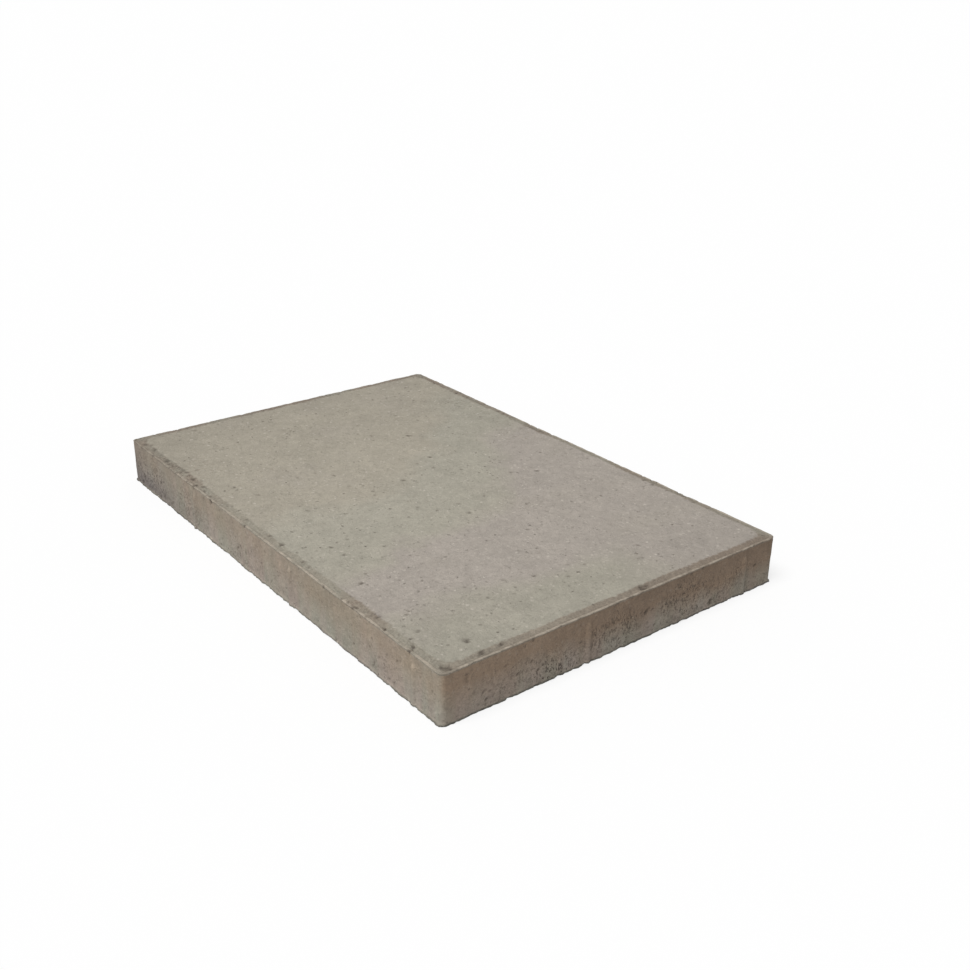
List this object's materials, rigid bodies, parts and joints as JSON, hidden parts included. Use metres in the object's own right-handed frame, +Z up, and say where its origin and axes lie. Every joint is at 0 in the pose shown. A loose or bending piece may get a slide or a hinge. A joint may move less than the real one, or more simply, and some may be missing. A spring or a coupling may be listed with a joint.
{
  "type": "concrete paving slab",
  "caption": "Rectangular cast concrete paving slab with a bevelled top edge, rounded upright corners and upright spacer ribs on its sides that set the joint.",
  "frame": {"origin": "middle of the underside, which is the bedding face", "axes": "+Z up out of the walking face, X along the long sides, Y along the short sides"},
  "size_m": [0.602, 0.402, 0.05],
  "materials": {
    "concrete": "matte, finely pitted beige-grey cast concrete"
  },
  "bodies": {
    "root": {"slab": "concrete"}
  },
  "joints": []
}
